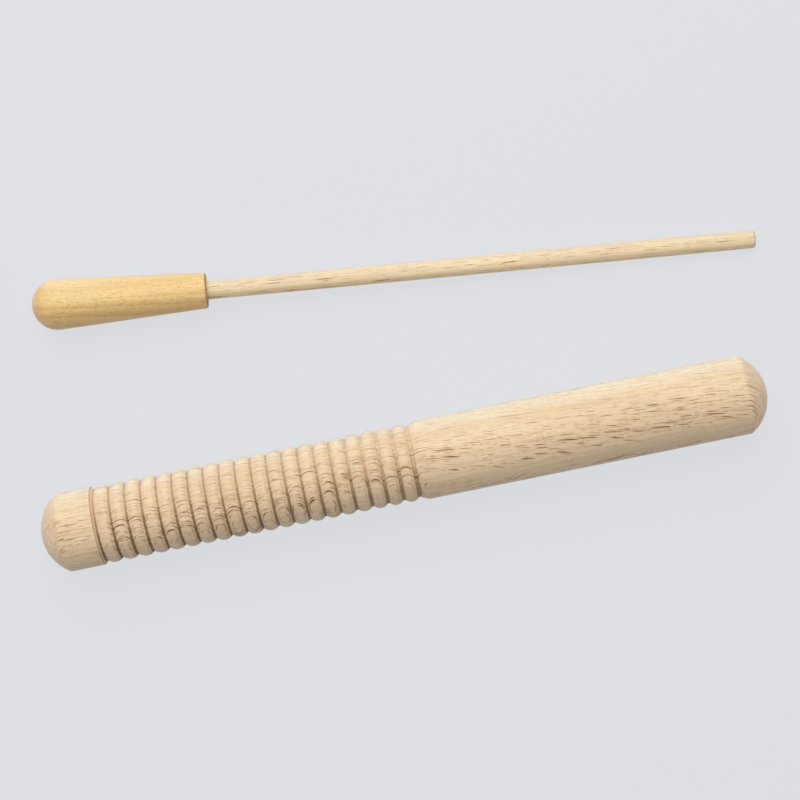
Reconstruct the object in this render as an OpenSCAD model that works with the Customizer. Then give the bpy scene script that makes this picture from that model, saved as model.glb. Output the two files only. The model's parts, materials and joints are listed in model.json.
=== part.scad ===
// Ribbed rhythm stick and its beater, lying side by side on a table.
// Lengths are in millimetres and angles in degrees.

/* [Stick] */
// Length of the stick, tip to tip
stick_len = 278.5; // [240:0.5:340]
// Diameter of the plain barrel and of the end cap
stick_d = 30; // [26:0.5:36]
// Height of the dome on each end, before its edge is rounded
dome_h = 8.5; // [4:0.5:12]
// Rounding of the edge between a dome and the side
edge_round = 2.5; // [0.5:0.1:4]

/* [Ribs] */
// Number of turned ribs
rib_count = 20; // [6:1:26]
// Distance from one groove to the next
rib_pitch = 6; // [4:0.1:7]
// Depth of a groove below the crests of the ribs
groove_depth = 1.2; // [0.8:0.1:2]
// Width of the flat floor of the first groove, beside the cap
first_flat = 0.3; // [0.2:0.1:1.2]
// Width of the flat floor of the last groove, beside the barrel
last_flat = 1; // [0.2:0.1:1.2]
// How late the floors widen: 1 is evenly, more is nearer the barrel
flat_growth = 4; // [1:0.5:8]
// How far the crests of the ribs lie below the barrel
crest_drop = 0.25; // [0:0.05:0.5]
// Distance from the tip of the ribbed end to the middle of the first groove
cap_len = 22.7; // [16:0.1:40]
// Distance from the edge of the cap's chamfer to the middle of the first groove
cap_chamfer = 1; // [0.8:0.1:3.5]
// Rounding of the shoulder where the plain barrel begins
shoulder_round = 6; // [3:0.1:12]

/* [Beater rod] */
// Diameter of the rod
rod_d = 7; // [5:0.1:9]
// Length of rod from the mouth of the handle to the tip
rod_reach = 210; // [150:1:260]
// Rounding of the rod's tip
rod_tip_round = 1; // [0.3:0.1:2]
// Length of the tenon glued into the handle
tenon_len = 35; // [20:1:45]
// Step from the rod's side down to the tenon
tenon_step = 0.25; // [0.1:0.05:1]
// Chamfer on the tenon's end
tenon_chamfer = 0.8; // [0.2:0.1:1.5]

/* [Beater handle] */
// Length of the handle, round end to mouth
handle_len = 66.5; // [56:0.5:90]
// Diameter of the handle at its round end
handle_d = 19.4; // [16:0.2:26]
// Diameter of the handle at its mouth, before the edge is rounded
mouth_d = 13.6; // [12:0.2:15.8]
// Rounding of the mouth's edge
mouth_round = 0.8; // [0.2:0.1:1.2]
// Glue line between the tenon and the wall of its hole
glue_gap = 0.05; // [0.02:0.01:0.2]
// Room between the tenon's end and the point of the drilled hole
hole_spare = 1; // [0.5:0.1:4]

/* [Layout] */
// Distance across the table from the stick's side to the middle of the rod's tip
tip_gap = 42.3; // [15:0.1:120]
// How far the middle of the rod's tip lies past the plain end of the stick
tip_overhang = 9.1; // [-60:0.1:60]
// Angle between the stick and the beater, whose handle lies further away
beater_turn = 6; // [0:0.5:20]

/* [Hidden] */
$fn = 96;
arc_steps = 16;
drill_point = 118;

wood_pale = [0.89, 0.78, 0.64];
wood_dowel = [0.91, 0.81, 0.67];
wood_golden = [0.91, 0.77, 0.55];

// Domed ends of the stick: the edge rounding touches the dome from inside
stick_r = stick_d / 2;
dome_r = (stick_r ^ 2 + dome_h ^ 2) / (2 * dome_h);
edge_lean = asin((stick_r - edge_round) / (dome_r - edge_round));
edge_at = dome_r - (dome_r - edge_round) * cos(edge_lean);

// Grooves: their flat floors widen from the first to the last
function floor_half(i) = (first_flat + (last_flat - first_flat) * (i / rib_count) ^ flat_growth) / 2;
function floor_start(i) = cap_len + i * rib_pitch - floor_half(i);
function floor_end(i) = cap_len + i * rib_pitch + floor_half(i);
crest_r = stick_r - crest_drop;
groove_r = crest_r - groove_depth;
shoulder_mid_r = stick_r - shoulder_round;
shoulder_turn = acos((groove_r - shoulder_mid_r) / shoulder_round);
shoulder_at = floor_end(rib_count) + shoulder_round * sin(shoulder_turn);

// Beater: the side of the handle touches its round end
rod_r = rod_d / 2;
tenon_r = rod_r - tenon_step;
rod_len = tenon_len + rod_reach;
belly_r = handle_d / 2;
mouth_r = mouth_d / 2;
taper_run = handle_len - belly_r;
taper = asin(belly_r / norm([taper_run, mouth_r])) - atan2(mouth_r, taper_run);
mouth_mid_r = (belly_r - mouth_round - (taper_run - mouth_round) * sin(taper)) / cos(taper);
hole_r = tenon_r + glue_gap;
hole_floor = handle_len - tenon_len - hole_spare;
hole_point = hole_floor - hole_r / tan(drill_point / 2);
beater_len = handle_len + rod_reach;

// The beater rests on its belly and on the rim of its tip, so it dips towards the tip
rest_run = beater_len - belly_r - rod_tip_round;
rest_rise = rod_r - rod_tip_round;
beater_dip = asin((belly_r - rod_tip_round) / norm([rest_run, rest_rise])) - atan2(rest_rise, rest_run);
beater_dir = [
    cos(beater_dip) * cos(beater_turn),
    -cos(beater_dip) * sin(beater_turn),
    -sin(beater_dip)
];
belly_to_tip = beater_len - belly_r;
tip_z = belly_r + belly_to_tip * beater_dir.z;
tip = [stick_len / 2 + tip_overhang, stick_r + tip_gap, tip_z];
belly = tip - belly_to_tip * beater_dir;
tip_side = rest_rise * sqrt(1 - beater_dir.x ^ 2) + rod_tip_round * (1 - beater_dir.x);

// Footprint of the pair, whose middle is the origin
foot_left = min(-stick_len / 2, belly.x - belly_r);
foot_right = max(stick_len / 2, tip.x + tip_side);
foot_front = -stick_r;
foot_back = belly.y + belly_r;
middle = [(foot_left + foot_right) / 2, (foot_front + foot_back) / 2, 0];

// Points of an arc about a centre, leaving out the first few if asked to
function arc(centre, r, from, to, skip = 0) = [
    for (i = [skip : arc_steps])
        let (a = from + (to - from) * i / arc_steps)
            centre + r * [cos(a), sin(a)]
];

// Half outline of the stick without its ribs: x is the radius, y the distance from the ribbed end
stick_outline = concat(
    arc([0, dome_r], dome_r, -90, edge_lean - 90),
    arc([stick_r - edge_round, edge_at], edge_round, edge_lean - 90, 0, skip = 1),
    [[stick_r, cap_len - cap_chamfer], [groove_r, floor_start(0)]],
    arc([shoulder_mid_r, shoulder_at], shoulder_round, -shoulder_turn, 0),
    arc([stick_r - edge_round, stick_len - edge_at], edge_round, 0, 90 - edge_lean),
    arc([0, stick_len - dome_r], dome_r, 90 - edge_lean, 90, skip = 1)
);

// Half outline of the rod: y is the distance from the tenon's end, and the shoulder seats on the mouth
rod_outline = concat(
    [[0, 0], [tenon_r - tenon_chamfer, 0], [tenon_r, tenon_chamfer]],
    [[tenon_r, tenon_len], [rod_r, tenon_len]],
    arc([rod_r - rod_tip_round, rod_len - rod_tip_round], rod_tip_round, 0, 90),
    [[0, rod_len]]
);

// Half outline of the handle with its drilled hole: y is the distance from its round end
handle_outline = concat(
    arc([0, belly_r], belly_r, -90, taper),
    arc([mouth_mid_r, handle_len - mouth_round], mouth_round, taper, 90),
    [[hole_r, handle_len], [hole_r, hole_floor], [0, hole_point]]
);

// Lays a turned piece that stands on its ribbed end along the table, with its axis along X
module lay_stick() {
    translate([-stick_len / 2, 0, stick_r] - middle)
        rotate([0, 90, 0])
            children();
}

// Lays a turned piece that stands on the handle's round end beside the stick
module lay_beater() {
    translate(belly - belly_r * beater_dir - middle)
        rotate([0, 90 + beater_dip, -beater_turn])
            children();
}

// Section of one rib: an arc that rises from the floor of one groove and ends at the floor of the next
module rib(i) {
    half = (floor_start(i + 1) - floor_end(i)) / 2;
    rib_r = (half ^ 2 + groove_depth ^ 2) / (2 * groove_depth);
    translate([crest_r - rib_r, floor_end(i) + half])
        circle(r = rib_r);
}

module ribbed_stick() {
    color(wood_pale)
        lay_stick()
            rotate_extrude() {
                polygon(stick_outline);
                for (i = [0 : rib_count - 1])
                    rib(i);
            }
}

module beater_rod() {
    color(wood_dowel)
        lay_beater()
            translate([0, 0, handle_len - tenon_len])
                rotate_extrude()
                    polygon(rod_outline);
}

module beater_handle() {
    color(wood_golden)
        lay_beater()
            rotate_extrude()
                polygon(handle_outline);
}

ribbed_stick();
beater_rod();
beater_handle();
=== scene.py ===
"""Looks of the ribbed rhythm stick and its beater: fine turned meshes, wood, stage, light and camera."""

import json
import math
from collections import namedtuple

import bpy
from mathutils import Matrix, Vector


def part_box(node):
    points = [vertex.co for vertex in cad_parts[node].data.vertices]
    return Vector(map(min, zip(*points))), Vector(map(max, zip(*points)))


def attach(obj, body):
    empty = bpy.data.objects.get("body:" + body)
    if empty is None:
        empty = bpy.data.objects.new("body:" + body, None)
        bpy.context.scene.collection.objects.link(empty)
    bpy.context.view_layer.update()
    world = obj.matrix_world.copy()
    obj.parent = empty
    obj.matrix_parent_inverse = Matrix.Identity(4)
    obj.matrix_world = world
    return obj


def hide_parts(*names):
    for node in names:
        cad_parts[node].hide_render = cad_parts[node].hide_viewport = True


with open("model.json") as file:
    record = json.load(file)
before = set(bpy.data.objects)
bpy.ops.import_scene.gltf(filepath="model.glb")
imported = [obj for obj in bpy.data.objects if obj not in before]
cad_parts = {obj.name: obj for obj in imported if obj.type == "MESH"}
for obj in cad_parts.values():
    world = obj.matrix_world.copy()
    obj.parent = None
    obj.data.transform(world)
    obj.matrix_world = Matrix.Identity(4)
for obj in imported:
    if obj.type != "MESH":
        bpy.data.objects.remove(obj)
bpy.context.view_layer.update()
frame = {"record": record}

MM = 0.001

# Turned outlines, in millimetres: the same sizes as the solids
DOME_H = 8.5
EDGE_ROUND = 2.5
RIB_COUNT = 20
RIB_PITCH = 6.0
GROOVE_DEPTH = 1.2
FIRST_FLAT = 0.3
LAST_FLAT = 1.0
FLAT_GROWTH = 4
CREST_DROP = 0.25
CAP_LEN = 22.7
CAP_CHAMFER = 1.0
SHOULDER_ROUND = 6.0
ROD_TIP_ROUND = 1.0
TENON_LEN = 35.0
TENON_STEP = 0.25
TENON_CHAMFER = 0.8
HANDLE_LEN = 66.5
HANDLE_D = 19.4
MOUTH_D = 13.6
MOUTH_ROUND = 0.8
GLUE_GAP = 0.05
HOLE_SPARE = 1.0
DRILL_POINT = math.radians(118)

# Fine detail that the solids leave out, in millimetres
GROOVE_ROUND = 0.15
SCORE_WIDTH = 0.5
SCORE_DEPTH = 0.35
SCORE_ROUND = 0.08
MOUTH_SINK = 0.45

# Fineness of the meshes: faces round the axis, the longest face in millimetres, the steps of each arc
# and the angle from which an edge is sharp
SEGMENTS = 160
FACE_STEP = 3.0
FILLET_STEPS = 3
DOME_STEPS = 24
EDGE_STEPS = 10
RIB_STEPS = 14
SHOULDER_STEPS = 12
TIP_STEPS = 10
BELLY_STEPS = 40
MOUTH_STEPS = 8
SHARP = math.radians(38)

# Surfaces laid out flat: the margin round them, and the length of a row as a multiple of what it holds
UV_MARGIN = 0.004
ROW_SPARE = 1.04

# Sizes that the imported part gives, in millimetres, and what follows from them
mounts = {m["name"]: m for m in frame["record"]["mounts"]}
barrel = mounts["barrel"]
bare_rod = mounts["rod"]
stick_r = barrel["dims"]["r_mm"]
rod_r = bare_rod["dims"]["r_mm"]
groove_r = stick_r - CREST_DROP - GROOVE_DEPTH
ribs_end = CAP_LEN + RIB_COUNT * RIB_PITCH


# Outlines are lists of points: the distance along the axis and the radius, in millimetres

def arc(centre, radius, start, end, steps):
    """Points of an arc; an angle of 0 points along the axis and 90 degrees away from it."""
    points = []
    for i in range(steps + 1):
        a = math.radians(start + (end - start) * i / steps)
        points.append((centre[0] + radius * math.cos(a), centre[1] + radius * math.sin(a)))
    return points


def fillet(before, corner, after, radius):
    """Points that round off a corner of an outline."""
    c = Vector(corner)
    to_before = (Vector(before) - c).normalized()
    to_after = (Vector(after) - c).normalized()
    half = to_before.angle(to_after) / 2
    middle = c + (to_before + to_after).normalized() * radius / math.sin(half)
    first = c + to_before * radius / math.tan(half) - middle
    last = c + to_after * radius / math.tan(half) - middle
    points = []
    for i in range(FILLET_STEPS + 1):
        spoke = first.lerp(last, i / FILLET_STEPS).normalized()
        points.append(tuple(middle + spoke * radius))
    return points


def fill(points):
    """The outline with points added along its long straight runs."""
    filled = [points[0]]
    for p, q in zip(points, points[1:]):
        parts = max(1, math.ceil(math.dist(p, q) / FACE_STEP))
        for i in range(1, parts + 1):
            filled.append((p[0] + (q[0] - p[0]) * i / parts, p[1] + (q[1] - p[1]) * i / parts))
    return filled


def dome_end():
    """The ribbed end of the stick: a dome and the rounded edge that leads to its side."""
    dome_r = (stick_r ** 2 + DOME_H ** 2) / (2 * DOME_H)
    lean = math.asin((stick_r - EDGE_ROUND) / (dome_r - EDGE_ROUND))
    edge_at = dome_r - (dome_r - EDGE_ROUND) * math.cos(lean)
    edge_from = 180 - math.degrees(lean)
    points = arc((dome_r, 0), dome_r, 180, edge_from, DOME_STEPS)
    points += arc((edge_at, stick_r - EDGE_ROUND), EDGE_ROUND, edge_from, 90, EDGE_STEPS)[1:]
    return points


def groove_floor(i):
    """Both ends of a groove's flat floor; the floors widen from the cap to the barrel."""
    middle = CAP_LEN + i * RIB_PITCH
    flat = FIRST_FLAT + (LAST_FLAT - FIRST_FLAT) * (i / RIB_COUNT) ** FLAT_GROWTH
    return middle - flat / 2, middle + flat / 2


def rib_runs():
    """The arcs that rise from the floors of the grooves: each rib, and last the barrel's shoulder."""
    runs = []
    for i in range(RIB_COUNT):
        left = groove_floor(i)[1]
        right = groove_floor(i + 1)[0]
        half = (right - left) / 2
        rib_r = (half ** 2 + GROOVE_DEPTH ** 2) / (2 * GROOVE_DEPTH)
        turn = math.degrees(math.asin(half / rib_r))
        middle = ((left + right) / 2, stick_r - CREST_DROP - rib_r)
        runs.append(arc(middle, rib_r, 90 + turn, 90 - turn, RIB_STEPS))
    shoulder_mid = stick_r - SHOULDER_ROUND
    turn = math.acos((groove_r - shoulder_mid) / SHOULDER_ROUND)
    shoulder_at = groove_floor(RIB_COUNT)[1] + SHOULDER_ROUND * math.sin(turn)
    foot = 90 + math.degrees(turn)
    runs.append(arc((shoulder_at, shoulder_mid), SHOULDER_ROUND, foot, 90, SHOULDER_STEPS))
    return runs


def stick_outline(length):
    end = dome_end()
    arris = (CAP_LEN - CAP_CHAMFER, stick_r)
    floor = (groove_floor(0)[0], groove_r)

    # A fine line is scored where the cap ends and its chamfer begins
    slope = (floor[1] - arris[1]) / (floor[0] - arris[0])
    half = SCORE_WIDTH / 2
    score = [
        (arris[0] - half, stick_r),
        (arris[0], stick_r - SCORE_DEPTH),
        (arris[0] + half, stick_r + slope * half),
    ]
    points = end + [score[0]] + fillet(*score, SCORE_ROUND) + [score[2]]

    # Each groove has a small fillet on both sides of its floor
    runs = rib_runs()
    before = arris
    for i, run in enumerate(runs):
        foot = (groove_floor(i)[0], groove_r)
        points += fillet(before, foot, run[0], GROOVE_ROUND)
        points += fillet(foot, run[0], run[1], GROOVE_ROUND)
        points += run[1:-1]
        before = run[-2]
    points.append(runs[-1][-1])
    points += [(length - u, r) for u, r in reversed(end)]
    return fill(points)


def rod_outline(reach):
    tenon_r = rod_r - TENON_STEP
    length = TENON_LEN + reach
    points = [(0, 0), (0, tenon_r - TENON_CHAMFER), (TENON_CHAMFER, tenon_r)]
    points += [(TENON_LEN, tenon_r), (TENON_LEN, rod_r)]
    points += arc((length - ROD_TIP_ROUND, rod_r - ROD_TIP_ROUND), ROD_TIP_ROUND, 90, 0, TIP_STEPS)
    points.append((length, 0))
    return fill(points)


def handle_outline():
    belly_r = HANDLE_D / 2
    mouth_r = MOUTH_D / 2
    run = HANDLE_LEN - belly_r
    taper = math.asin(belly_r / math.hypot(run, mouth_r)) - math.atan2(mouth_r, run)
    mouth_mid = (belly_r - MOUTH_ROUND - (run - MOUTH_ROUND) * math.sin(taper)) / math.cos(taper)
    side = 90 - math.degrees(taper)
    hole_r = rod_r - TENON_STEP + GLUE_GAP
    hole_floor = HANDLE_LEN - TENON_LEN - HOLE_SPARE
    points = arc((belly_r, 0), belly_r, 180, side, BELLY_STEPS)
    points += arc((HANDLE_LEN - MOUTH_ROUND, mouth_mid), MOUTH_ROUND, side, 0, MOUTH_STEPS)
    points += [(HANDLE_LEN, hole_r + MOUTH_SINK), (HANDLE_LEN - MOUTH_SINK, hole_r)]
    points += [(hole_floor, hole_r), (hole_floor - hole_r / math.tan(DRILL_POINT / 2), 0)]
    return fill(points)


def unwrap(mesh, outline):
    """Lays the turned surface out flat, cut across into a few rows so that it fills a square."""
    along = [0.0]
    for p, q in zip(outline, outline[1:]):
        along.append(along[-1] + math.dist(p, q))
    girth = 2 * math.pi * max(r for _, r in outline)
    rows = max(1, round(math.sqrt(along[-1] / girth)))
    row_len = along[-1] / rows
    last = len(outline) - 1
    inner = 1 - 2 * UV_MARGIN
    layer = mesh.uv_layers.new(name="OFBake").data
    for face in mesh.polygons:
        k, i = divmod(face.index, last)
        row = min(rows - 1, int(along[i] / row_len))
        for loop in face.loop_indices:
            vert = mesh.loops[loop].vertex_index
            ring = (vert - 1) // SEGMENTS + 1
            spoke = (vert - 1) % SEGMENTS
            if ring in (0, last):
                spoke = k + 0.5
            elif spoke < k:
                spoke += SEGMENTS
            across = UV_MARGIN + spoke / SEGMENTS * inner
            reach = (along[ring] - row * row_len) / (row_len * ROW_SPARE)
            layer[loop].uv = (UV_MARGIN + reach * inner, (row + across) / rows)


def lathe(name, outline, place, shift=0.0):
    """A closed mesh turned about its own X axis from an outline that starts and ends on the axis."""
    verts = [((outline[0][0] + shift) * MM, 0, 0)]
    for u, r in outline[1:-1]:
        for k in range(SEGMENTS):
            a = 2 * math.pi * k / SEGMENTS
            verts.append(((u + shift) * MM, r * MM * math.cos(a), r * MM * math.sin(a)))
    verts.append(((outline[-1][0] + shift) * MM, 0, 0))
    rings = len(outline) - 2
    last = len(verts) - 1
    faces = []
    for k in range(SEGMENTS):
        n = (k + 1) % SEGMENTS
        faces.append((0, 1 + n, 1 + k))
        for i in range(rings - 1):
            low = 1 + i * SEGMENTS
            high = low + SEGMENTS
            faces.append((low + k, low + n, high + n, high + k))
        low = 1 + (rings - 1) * SEGMENTS
        faces.append((low + k, low + n, last))
    mesh = bpy.data.meshes.new(name)
    mesh.from_pydata(verts, [], faces)
    mesh.shade_smooth()
    mesh.set_sharp_from_angle(angle=SHARP)
    unwrap(mesh, outline)
    piece = bpy.data.objects.new(name, mesh)
    piece.matrix_world = place
    bpy.context.scene.collection.objects.link(piece)
    return piece


def place_along(origin, direction):
    """A frame whose X axis runs along the direction and whose Z axis points up."""
    x = Vector(direction).normalized()
    z = (Vector((0, 0, 1)) - x * x.z).normalized()
    y = z.cross(x)
    return Matrix.Translation(origin) @ Matrix((x, y, z)).transposed().to_4x4()


class Graph:
    """A node tree, built by short calls that return sockets."""

    # Sockets of the mix node that take and give colours
    MIX_A = 6
    MIX_B = 7
    MIX_RESULT = 2

    def __init__(self, tree):
        self.tree = tree
        self.tree.nodes.clear()

    def put(self, socket, value):
        if isinstance(value, bpy.types.NodeSocket):
            self.tree.links.new(value, socket)
        else:
            socket.default_value = value

    def node(self, kind, inputs=None, **settings):
        made = self.tree.nodes.new(kind)
        for key, value in settings.items():
            setattr(made, key, value)
        for key, value in (inputs or {}).items():
            self.put(made.inputs[key], value)
        return made

    def math(self, operation, *values):
        inputs = dict(enumerate(values))
        return self.node("ShaderNodeMath", inputs, operation=operation).outputs[0]

    def times(self, *values):
        """The product of two or more values."""
        product = values[0]
        for value in values[1:]:
            product = self.math("MULTIPLY", product, value)
        return product

    def linear(self, value, slope, start):
        """The value times a slope, plus a start."""
        return self.math("MULTIPLY_ADD", value, slope, start)

    def ramp(self, value, low, high, to_low=0.0, to_high=1.0):
        """A smooth step of the value between two bounds, which may fall as well as rise."""
        inputs = {0: value, 1: low, 2: high, 3: to_low, 4: to_high}
        return self.node("ShaderNodeMapRange", inputs, interpolation_type="SMOOTHSTEP").outputs[0]

    def vary(self, value, span, amount):
        """A factor that follows the value, by an amount either way of 1."""
        return self.ramp(value, *span, 1 - amount, 1 + amount)

    def within(self, value, low, high):
        """1 where the value lies between two bounds, and 0 elsewhere."""
        return self.times(self.math("GREATER_THAN", value, low), self.math("LESS_THAN", value, high))

    def apart(self, value, mark):
        """How far the value is from a mark, either way."""
        return self.math("ABSOLUTE", self.math("SUBTRACT", value, mark))

    def split(self, vector):
        return self.node("ShaderNodeSeparateXYZ", {0: vector}).outputs

    def join(self, x, y, z):
        return self.node("ShaderNodeCombineXYZ", {0: x, 1: y, 2: z}).outputs[0]

    def stretch(self, vector, sizes):
        """The vector in units of a size of its own along each axis."""
        scale = [1 / s for s in sizes]
        return self.node("ShaderNodeMapping", {"Vector": vector, "Scale": scale}).outputs[0]

    def noise(self, vector, sizes, detail=2.0):
        inputs = {"Vector": self.stretch(vector, sizes), "Scale": 1.0, "Detail": detail}
        return self.node("ShaderNodeTexNoise", inputs).outputs["Fac"]

    def cells(self, vector, sizes):
        """Offset from the middle of the nearest cell, in cells, and the cell's random colour."""
        place = self.stretch(vector, sizes)
        found = self.node("ShaderNodeTexVoronoi", {"Vector": place, "Scale": 1.0}, feature="F1").outputs
        inputs = {0: place, 1: found["Position"]}
        offset = self.node("ShaderNodeVectorMath", inputs, operation="SUBTRACT").outputs[0]
        return offset, found["Color"]

    def mix(self, share, a, b, blend="MIX"):
        made = self.node("ShaderNodeMix", data_type="RGBA", blend_type=blend)
        self.put(made.inputs[0], share)
        self.put(made.inputs[self.MIX_A], a)
        self.put(made.inputs[self.MIX_B], b)
        return made.outputs[self.MIX_RESULT]

    def stain(self, colour, tint, depth, curve):
        """The colour seen through a tint, which deepens and grows warmer with the depth from 0 to 1."""
        power = self.math("POWER", depth, curve)
        seen = self.node("ShaderNodeGamma", {"Color": tint, "Gamma": power}).outputs[0]
        return self.mix(1.0, colour, seen, "MULTIPLY")


def rgb(red, green, blue):
    return (red, green, blue, 1.0)


# Noise: its middle value, the spans of it that make clouds, streaks, fibres and patches of scorch and
# painted shade, and the share of them that is left between the patches
NOISE_MIDDLE = 0.5
CLOUD_SPAN = (0.3, 0.7)
STREAK_SPAN = (0.3, 0.7)
FIBRE_SPAN = (0.25, 0.75)
PATCH_SPAN = (0.2, 0.8)
PATCH_LEAST = 0.8

# Grain: over how many millimetres it starts to run out of the side, and the shares of a growth ring's
# width at which it is darkest and at which its edge begins
RUN_OUT_BLEND = 30.0
RING_DARKEST = 0.93
RING_EDGE = 0.94

# Painted light on the side that faces the lamp: the angle by which that side faces up, and the tone
# painted on it and away from it
LIT_SIDE_FACE = math.radians(20)
LIT_SIDE_TONE = 0.955
AWAY_FROM_LIT_TONE = 1.02

# Rays: half their length in cells, the strength of the faintest, the spread of strengths, the soft edge
# and how the stain deepens
RAY_REACH = 0.55
RAY_FAINTEST = 0.25
RAY_SPREAD = 1.5
RAY_EDGE = 0.25
RAY_CURVE = 1.5

# Rays show less where the surface cuts square across them, where it lies along them and at cut ends
SQUARE_SPAN = (0.1, 0.8)
SQUARE_SHOWS = 0.48
FLAKE_SPAN = (0.995, 0.94)
END_FADE = 0.4

# Surface: what fibres add to the roughness, their share of the relief, and its height in millimetres
FIBRE_ROUGH = 0.12
FIBRE_RELIEF = 0.5
RELIEF_HEIGHT = 0.05

# Scorched wood and painted shade: how the stain deepens, and what they add to the roughness
BURN_AND_SHADE_CURVE = 1.4
BURN_AND_SHADE_ROUGH = 0.4

# One kind of ray: its cell along the grain, across the plates and along them, the share of cells that
# hold a ray, the ray's thickness and its darkness; lengths are in millimetres
RayKind = namedtuple("RayKind", "cell share thick dark")


def ray_turn(look):
    """The turn about a piece's axis from its own frame to that of its ray plates."""
    return (math.radians(270) - look["ray_face"], 0, 0)


def grain_space(g, look, place):
    """The place in millimetres along the grain, across the ray plates and along them."""
    inputs = {"Vector": place, "Location": look["shift"], "Rotation": ray_turn(look)}
    turned = g.node("ShaderNodeMapping", inputs).outputs[0]
    along, across, radial = g.split(turned)

    # The grain wanders and leans, and from a point on it runs out of the side
    sway = g.math("SUBTRACT", g.noise(turned, look["sway_size"], detail=1.0), NOISE_MIDDLE)
    ripple = g.math("SUBTRACT", g.noise(turned, look["ripple_size"], detail=1.0), NOISE_MIDDLE)
    past = g.math("SUBTRACT", along, look["run_out_from"])
    run = g.math("SMOOTH_MAX", past, 0.0, RUN_OUT_BLEND)
    across = g.linear(sway, look["sway"], across)
    across = g.linear(ripple, look["ripple"], across)
    across = g.linear(run, look["run_out"], across)
    radial = g.linear(sway, look["sway"], radial)
    radial = g.linear(along, look["lean"], radial)
    return g.join(along, across, radial)


def late_wood(g, look, grain, cloud):
    """Growth rings: the wood darkens towards the edge of each one, and the next starts pale."""
    radial = g.split(grain)[2]
    ring = g.math("DIVIDE", g.math("ADD", radial, look["ring_at"]), look["ring_pitch"])
    phase = g.math("FRACT", g.linear(cloud, look["ring_wander"], ring))
    darkening = g.ramp(phase, look["ring_start"], RING_DARKEST)
    return g.times(darkening, g.ramp(phase, RING_EDGE, 1.0, 1.0, 0.0))


def plain_wood(g, look, place, grain, fibre, cut):
    """The colour between the rays: clouds, painted light on the side that faces the lamp, growth rings,
    cut ends and fibres.
    """
    streak = g.noise(grain, look["streak_size"])
    cloud = g.noise(grain, look["cloud_size"])
    # Painted light and shade: towards the side that faces the lamp, the colour, the tone and the share of
    # late wood change
    _, y, z = g.split(place)
    outward = g.linear(y, math.cos(LIT_SIDE_FACE), g.times(z, math.sin(LIT_SIDE_FACE)))
    late = g.times(
        late_wood(g, look, grain, cloud),
        g.linear(cut, look["end_late"], look["late_share"]),
        g.ramp(outward, *look["late_span"], look["late_on_sap"], 1.0),
    )
    tone = g.times(
        g.vary(fibre, FIBRE_SPAN, look["fibre"]),
        g.vary(streak, STREAK_SPAN, look["streak"]),
        g.ramp(outward, *look["heart_span"], LIT_SIDE_TONE, AWAY_FROM_LIT_TONE),
    )
    colour = g.mix(g.ramp(cloud, *CLOUD_SPAN), look["pale"], look["deep"])
    colour = g.mix(g.ramp(outward, *look["sap_span"]), colour, look["sap"])
    colour = g.mix(late, colour, look["late"])
    colour = g.mix(g.times(cut, look["end_share"]), colour, look["end"])
    return g.mix(1.0, colour, g.join(tone, tone, tone), "MULTIPLY")


def ray_strength(g, look, place, normal, cut):
    """How strongly rays show: by the way the surface cuts them, and more where ribs are turned."""
    inputs = {"Vector": normal, "Rotation": ray_turn(look)}
    facing = g.node("ShaderNodeMapping", inputs, vector_type="VECTOR").outputs[0]
    flat = g.math("ABSOLUTE", g.split(facing)[1])
    worked = g.within(g.split(place)[0], *look["opened_span"])
    return g.times(
        g.ramp(flat, *SQUARE_SPAN, SQUARE_SHOWS, 1.0),
        g.ramp(flat, *FLAKE_SPAN, look["flake"], 1.0),
        g.linear(worked, look["opened"] - 1.0, 1.0),
        g.linear(cut, -END_FADE, 1.0),
    )


def rays(g, grain, kind):
    """Thin lens-shaped plates, one in each cell that has one, some fainter than others."""
    offset, colour = g.cells(grain, kind.cell)
    along, across, radial = g.split(offset)
    red, green, _ = g.node("ShaderNodeSeparateColor", {0: colour}).outputs
    kept = g.math("GREATER_THAN", red, 1 - kind.share)
    strength = g.linear(g.math("POWER", green, RAY_SPREAD), 1 - RAY_FAINTEST, RAY_FAINTEST)
    spread = g.math("ADD", g.times(along, along), g.times(radial, radial))
    inside = g.linear(spread, -1 / RAY_REACH ** 2, 1.0)
    cell_width = kind.cell[1]
    depth = g.linear(g.math("ABSOLUTE", across), -2 * cell_width / kind.thick, inside)
    return g.times(g.ramp(depth, 0.0, RAY_EDGE), kept, strength)


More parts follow.
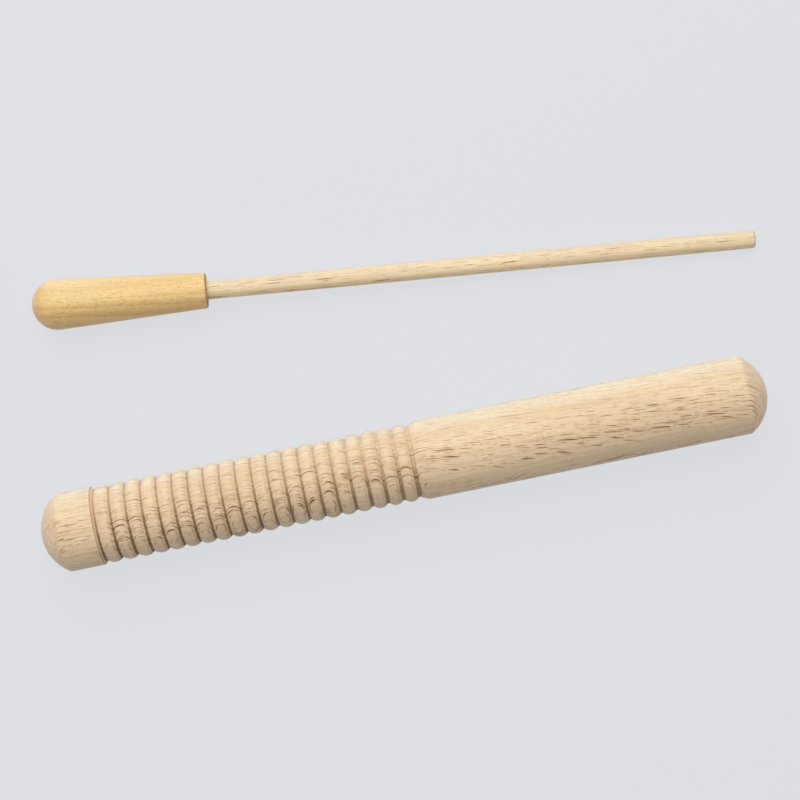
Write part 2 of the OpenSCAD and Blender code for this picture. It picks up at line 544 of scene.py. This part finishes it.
def wood(name, look, scorch_and_shade=None):
    """Beech in three dimensions: rays as thin plates, growth rings across them, fibres along the grain."""
    material = bpy.data.materials.new(name)
    material.use_nodes = True
    g = Graph(material.node_tree)
    coords = g.node("ShaderNodeTexCoord").outputs
    normal = coords["Normal"]
    normal_x = g.split(normal)[0]

    # The place is in millimetres, in the frame of the piece
    place = g.stretch(coords["Object"], (MM, MM, MM))
    grain = grain_space(g, look, place)
    fibre = g.noise(grain, look["fibre_size"], detail=3.0)

    # Where the fibres are cut across, the wood is darker and redder
    cut = g.ramp(g.math("ABSOLUTE", normal_x), *look["end_span"])
    colour = plain_wood(g, look, place, grain, fibre, cut)

    relief = g.times(fibre, FIBRE_RELIEF)
    strength = ray_strength(g, look, place, normal, cut)
    for kind in look["rays"]:
        drawn = g.times(rays(g, grain, kind), strength)
        colour = g.stain(colour, look["ray_tint"], g.times(drawn, kind.dark), RAY_CURVE)
        relief = g.linear(drawn, -kind.dark, relief)

    rough = g.linear(fibre, FIBRE_ROUGH, look["rough"])
    # Scorch and painted shade: grooves and the handle's mouth are darkened, partly where shade falls
    if scorch_and_shade:
        patches = g.ramp(fibre, *PATCH_SPAN, PATCH_LEAST, 1.0)
        burn_and_shade = g.times(scorch_and_shade(g, place, normal_x), patches)
        colour = g.stain(colour, look["burnt_tint"], burn_and_shade, BURN_AND_SHADE_CURVE)
        rough = g.linear(burn_and_shade, BURN_AND_SHADE_ROUGH, rough)

    inputs = {"Strength": look["bump"], "Distance": RELIEF_HEIGHT * MM, "Height": relief}
    bump = g.node("ShaderNodeBump", inputs).outputs[0]
    shader = g.node("ShaderNodeBsdfPrincipled", {
        "Base Color": colour,
        "Roughness": rough,
        "Normal": bump,
        "Specular IOR Level": look["specular"],
        "Coat Weight": look["coat"],
        "Coat Roughness": look["coat_rough"],
        "Sheen Weight": look["sheen"],
        "Sheen Roughness": look["sheen_rough"],
    })
    g.node("ShaderNodeOutputMaterial", {"Surface": shader.outputs[0]})
    return material


# Looks of the three pieces: sizes and places are in millimetres, a tint is what a full stain lets through
STICK_LOOK = {
    # Grain: the angle of its ray plates, a shift along the piece, slow and quick wander, run-out and lean
    "ray_face": math.radians(45),
    "shift": (13, 0, 0),
    "sway_size": (60, 16, 16),
    "sway": 1.6,
    "ripple_size": (7, 3, 5),
    "ripple": 0.25,
    "run_out_from": 133,
    "run_out": -0.085,
    "lean": 0.0,
    # Rays: less of them shows as flakes that lie in the surface, and more where a cutter opened them
    "rays": [
        RayKind(cell=(9.0, 1.0, 9.0), share=0.55, thick=0.34, dark=1.0),
        RayKind(cell=(5.5, 0.6, 6.0), share=0.5, thick=0.22, dark=1.0),
        RayKind(cell=(2.6, 0.35, 3.0), share=0.5, thick=0.13, dark=0.9),
    ],
    "ray_tint": rgb(0.21, 0.096, 0.043),
    "flake": 0.15,
    "opened": 1.15,
    "opened_span": (CAP_LEN, ribs_end),
    # Fibres, streaks and clouds: their sizes, and how far fibres and streaks change the tone
    "fibre_size": (5, 0.3, 0.3),
    "fibre": 0.05,
    "streak_size": (24, 0.9, 0.9),
    "streak": 0.04,
    "cloud_size": (70, 7, 5),
    # Colours of the clouds and of the painted light on the lamp side, and the places between which the
    # wood turns to that colour or changes its tone
    "pale": rgb(0.88, 0.67, 0.435),
    "deep": rgb(0.82, 0.61, 0.385),
    "sap": rgb(0.98, 0.86, 0.635),
    "sap_span": (12.2, 15.8),
    "heart_span": (12, 4),
    # Growth rings: their pitch, place, wander and where they start to darken, then their late wood, which
    # is painted fainter on the lamp side
    "ring_pitch": 2.6,
    "ring_at": 0.0,
    "ring_wander": 1.2,
    "ring_start": 0.35,
    "late": rgb(0.70, 0.47, 0.285),
    "late_share": 0.35,
    "late_span": (12, 4),
    "late_on_sap": 0.4,
    # Cut ends: their colour, its share, the late wood that they add, and the facing at which they begin
    "end": rgb(0.88, 0.625, 0.42),
    "end_share": 0.5,
    "end_late": 0.25,
    "end_span": (0.3, 0.95),
    # Surface: scorch and painted shade, relief, roughness, gloss and sheen
    "burnt_tint": rgb(0.2, 0.14, 0.09),
    "bump": 0.15,
    "rough": 0.5,
    "specular": 0.4,
    "coat": 0.0,
    "coat_rough": 0.3,
    "sheen": 0.3,
    "sheen_rough": 0.45,
}
ROD_LOOK = dict(
    STICK_LOOK,
    ray_face=math.radians(30),
    shift=(0, 0, 0),
    run_out=0.0,
    rays=[
        RayKind(cell=(8.0, 0.8, 6.0), share=0.7, thick=0.2, dark=0.95),
        RayKind(cell=(4.5, 0.5, 4.0), share=0.7, thick=0.13, dark=0.8),
        RayKind(cell=(2.2, 0.3, 2.5), share=0.6, thick=0.08, dark=0.6),
    ],
    ray_tint=rgb(0.29, 0.156, 0.074),
    opened=1.0,
    pale=rgb(0.915, 0.745, 0.49),
    deep=rgb(0.855, 0.68, 0.435),
    sap=rgb(0.85, 0.69, 0.465),
    sap_span=(1.8, 3.4),
    heart_span=(2.8, 1.0),
    late_span=(2.8, 1.0),
    end=rgb(0.70, 0.42, 0.19),
    end_share=0.8,
    end_span=(0.45, 0.95),
)
HANDLE_LOOK = dict(
    STICK_LOOK,
    ray_face=math.radians(7),
    shift=(0, 0, 0),
    run_out=0.0,
    lean=-0.05,
    rays=[
        RayKind(cell=(3.2, 0.5, 2.2), share=0.8, thick=0.12, dark=0.5),
        RayKind(cell=(1.8, 0.6, 0.9), share=1.0, thick=0.3, dark=0.3),
        RayKind(cell=(1.0, 0.4, 0.6), share=1.0, thick=0.22, dark=0.4),
    ],
    ray_tint=rgb(0.42, 0.26, 0.12),
    flake=0.9,
    opened=1.0,
    pale=rgb(0.865, 0.615, 0.275),
    deep=rgb(0.82, 0.565, 0.24),
    sap=rgb(0.92, 0.705, 0.38),
    sap_span=(6, 10),
    heart_span=(7.7, 2.6),
    ring_pitch=3.56,
    ring_at=2.1,
    ring_wander=0.25,
    ring_start=0.1,
    late=rgb(0.66, 0.40, 0.145),
    late_share=0.6,
    late_span=(3.5, 0.5),
    late_on_sap=0.15,
    end=rgb(0.84, 0.48, 0.15),
    end_share=0.6,
    burnt_tint=rgb(0.135, 0.09, 0.07),
    rough=0.48,
    coat=0.12,
    coat_rough=0.35,
)

# Scorch and painted shade: heights are in millimetres above the floor of a groove, a facing is a share of
# the normal that points along the piece, and a pair runs from the cap to the barrel, or across from the
# beater's side
TORN_SIZE = (0.5, 0.8, 0.8)
TORN_HEIGHT = 0.8
FULL_HEIGHT = 0.05
WALL_FACING = (-0.45, 0.45)
CAP_WALL_REACH = (0.35, 0.5)
BARREL_WALL_REACH = (0.8, 0.58)
SHADE_SIDE_SPAN = (13, -13)
SHADE_SIDE_REACH = (0.6, 1.0)
SHADE_SIDE_STRENGTH = (0.45, 1.0)
GROOVE_STRENGTH = (0.97, 0.82)
MARK_HEIGHT = 0.88
MARK_EDGE = (0.1, 0.02)
MARK_STRENGTH = 0.3
BELOW_MARK = (0.95, 0.85)
BELOW_MARK_SHADE = 0.1
MARKED_FACING = (0.15, 0.3)
FLOOR_EDGE = (0.08, 0.0)
FLOOR_SPAN = (12, -12)
LIT_FLOOR_SHARE = (0.75, 0.25)
LINE_EDGE = (0.3, 0.1)
LINE_STRENGTH = 0.45
# Painted shade on the handle's mouth, which faces away from the lamp
MOUTH_SHADE_FACING = (0.5, 0.9)
MOUTH_SHADE_STRENGTH = 0.8


def groove_scorch_and_shade(g, place, normal_x):
    """How much the stick is darkened in its grooves and along the scored line: partly scorch from the
    cutter, partly painted shade in the grooves and on the side away from the lamp.
    """
    x, y, z = g.split(place)
    radius = g.math("SQRT", g.math("ADD", g.times(y, y), g.times(z, z)))
    torn = g.linear(g.noise(place, TORN_SIZE), TORN_HEIGHT, -TORN_HEIGHT / 2)
    height = g.math("ADD", g.math("SUBTRACT", radius, groove_r), torn)

    # Painted shade: it climbs higher on the walls that face the barrel, away from the lamp, and on the
    # side away from the beater, which faces away from the lamp
    cap_wall = g.ramp(x, CAP_LEN, ribs_end, *CAP_WALL_REACH)
    barrel_wall = g.ramp(x, CAP_LEN, ribs_end, *BARREL_WALL_REACH)
    gain = g.math("SUBTRACT", barrel_wall, cap_wall)
    reach = g.linear(g.ramp(normal_x, *WALL_FACING), gain, cap_wall)
    reach = g.times(reach, g.ramp(y, *SHADE_SIDE_SPAN, *SHADE_SIDE_REACH))
    burn_and_shade = g.ramp(height, reach, FULL_HEIGHT)

    # A turning mark runs round the walls that face the barrel; below it these walls are painted a little
    # darker, as painted shade on walls that face away from the lamp
    mark = g.ramp(g.apart(height, MARK_HEIGHT), *MARK_EDGE, 0.0, MARK_STRENGTH)
    below_shade = g.ramp(height, *BELOW_MARK, 0.0, BELOW_MARK_SHADE)
    wall_mark_and_shade = g.times(g.math("ADD", mark, below_shade), g.ramp(normal_x, *MARKED_FACING))
    burn_and_shade = g.math("MAXIMUM", burn_and_shade, wall_mark_and_shade)

    # The wide floors near the barrel stay paler than the walls beside them, most on the lamp side: less
    # painted shade where light reaches them
    lit_floor = g.times(
        g.ramp(height, *FLOOR_EDGE),
        g.ramp(x, (CAP_LEN + ribs_end) / 2, ribs_end),
        g.ramp(y, *FLOOR_SPAN, *LIT_FLOOR_SHARE),
    )
    # Painted shade: the grooves are darker on the side away from the lamp
    grooves = g.times(
        burn_and_shade,
        g.math("SUBTRACT", 1.0, lit_floor),
        g.within(x, CAP_LEN - CAP_CHAMFER, ribs_end + RIB_PITCH),
        g.ramp(y, *SHADE_SIDE_SPAN, *SHADE_SIDE_STRENGTH),
        g.ramp(x, CAP_LEN, ribs_end, *GROOVE_STRENGTH),
    )
    line = g.ramp(g.apart(x, CAP_LEN - CAP_CHAMFER), *LINE_EDGE, 0.0, LINE_STRENGTH)
    return g.math("MAXIMUM", grooves, line)


def mouth_end_grain_and_shade(g, _place, normal_x):
    """Painted shade on the handle's mouth, which faces away from the lamp, on top of its darker sawn end
    grain.
    """
    return g.ramp(normal_x, *MOUTH_SHADE_FACING, 0.0, MOUTH_SHADE_STRENGTH)


def dress(piece, body, node, slot, look, scorch_and_shade=None):
    piece.data.materials.append(wood(slot, look, scorch_and_shade))
    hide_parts(node)
    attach(piece, body)


# Stick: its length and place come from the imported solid
stick_low, stick_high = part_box("ribbed_stick")
stick_tip = Vector((stick_low.x, barrel["pos_m"][1], barrel["pos_m"][2]))
stick_len = (stick_high.x - stick_low.x) / MM
stick = lathe("stick_turned", stick_outline(stick_len), place_along(stick_tip, (1, 0, 0)))
dress(stick, "stick", "ribbed_stick", "stick_wood", STICK_LOOK, groove_scorch_and_shade)

# Beater: the bare rod runs from the handle's mouth to its rounded tip
bare_len = bare_rod["dims"]["length_mm"]
beater_axis = Vector(bare_rod["axis"]).normalized()
mouth = Vector(bare_rod["pos_m"]) - beater_axis * bare_len / 2 * MM
beater_place = place_along(mouth - beater_axis * HANDLE_LEN * MM, beater_axis)
rod = lathe("rod_turned", rod_outline(bare_len + ROD_TIP_ROUND), beater_place, HANDLE_LEN - TENON_LEN)
dress(rod, "beater", "beater_rod", "rod_wood", ROD_LOOK)
handle = lathe("handle_turned", handle_outline(), beater_place)
dress(handle, "beater", "beater_handle", "handle_wood", HANDLE_LOOK, mouth_end_grain_and_shade)

# Floor and surroundings: pale grey where they are seen, plain light for the rest
BACKGROUND = rgb(0.737, 0.752, 0.783)
FLOOR_ALBEDO = rgb(0.73, 0.745, 0.775)
WHITE = rgb(1.0, 1.0, 1.0)
SHADOW_SHARE = 0.1
FLOOR_HALF = 6.0
AMBIENT = 0.32


def seen_directly(g):
    """1 where a surface is seen, in a mirror or through glass too, and 0 where it only gives light."""
    path = g.node("ShaderNodeLightPath").outputs
    glossy = g.math("MAXIMUM", path["Is Camera Ray"], path["Is Glossy Ray"])
    return g.math("MAXIMUM", glossy, path["Is Transmission Ray"])


def floor_material():
    material = bpy.data.materials.new("floor_pale")
    material.use_nodes = True
    g = Graph(material.node_tree)
    plain = g.node("ShaderNodeBsdfDiffuse", {"Color": FLOOR_ALBEDO}).outputs[0]
    shown = g.node("ShaderNodeEmission", {"Color": BACKGROUND, "Strength": 1.0}).outputs[0]
    share = g.times(seen_directly(g), 1 - SHADOW_SHARE)
    mixed = g.node("ShaderNodeMixShader", {0: share, 1: plain, 2: shown}).outputs[0]
    g.node("ShaderNodeOutputMaterial", {"Surface": mixed})
    return material


floor_mesh = bpy.data.meshes.new("floor")
corners = [(-1, -1), (1, -1), (1, 1), (-1, 1)]
floor_mesh.from_pydata([(x * FLOOR_HALF, y * FLOOR_HALF, 0) for x, y in corners], [], [(0, 1, 2, 3)])
floor_mesh.materials.append(floor_material())
floor = bpy.data.objects.new("floor", floor_mesh)
bpy.context.scene.collection.objects.link(floor)

world = bpy.data.worlds.new("studio")
bpy.context.scene.world = world
world.use_nodes = True
sky = Graph(world.node_tree)
light = sky.node("ShaderNodeBackground", {"Color": WHITE, "Strength": AMBIENT}).outputs[0]
backdrop = sky.node("ShaderNodeBackground", {"Color": BACKGROUND, "Strength": 1.0}).outputs[0]
either = sky.node("ShaderNodeMixShader", {0: seen_directly(sky), 1: light, 2: backdrop}).outputs[0]
sky.node("ShaderNodeOutputWorld", {"Surface": either})

# One large soft lamp, from beyond the beater and a little from the handle's side
LAMP_POWER = 13.1
LAMP_SIDE = 1.0
LAMP_REACH = 1.2
LAMP_TOWARD = Vector((-0.05, 0.56, 0.81)).normalized()
lamp_data = bpy.data.lights.new("softbox", "AREA")
lamp_data.shape = "SQUARE"
lamp_data.size = LAMP_SIDE
lamp_data.energy = LAMP_POWER
lamp = bpy.data.objects.new("softbox", lamp_data)
lamp.location = LAMP_TOWARD * LAMP_REACH
lamp.rotation_euler = LAMP_TOWARD.to_track_quat("Z", "Y").to_euler()
bpy.context.scene.collection.objects.link(lamp)

# Camera: straight down, turned so that the stick rises to the right
SENSOR = 36.0
LENS = 96.5
VIEW_TURN = math.radians(-11.46)
CAMERA_AT = Vector((-1.46, -16.15, 824)) * MM
camera_data = bpy.data.cameras.new("camera")
camera_data.sensor_width = SENSOR
camera_data.lens = LENS
camera = bpy.data.objects.new("camera", camera_data)
camera.location = CAMERA_AT
camera.rotation_euler = (0, 0, VIEW_TURN)
bpy.context.scene.collection.objects.link(camera)
bpy.context.scene.camera = camera
bpy.context.scene.view_settings.view_transform = "Standard"
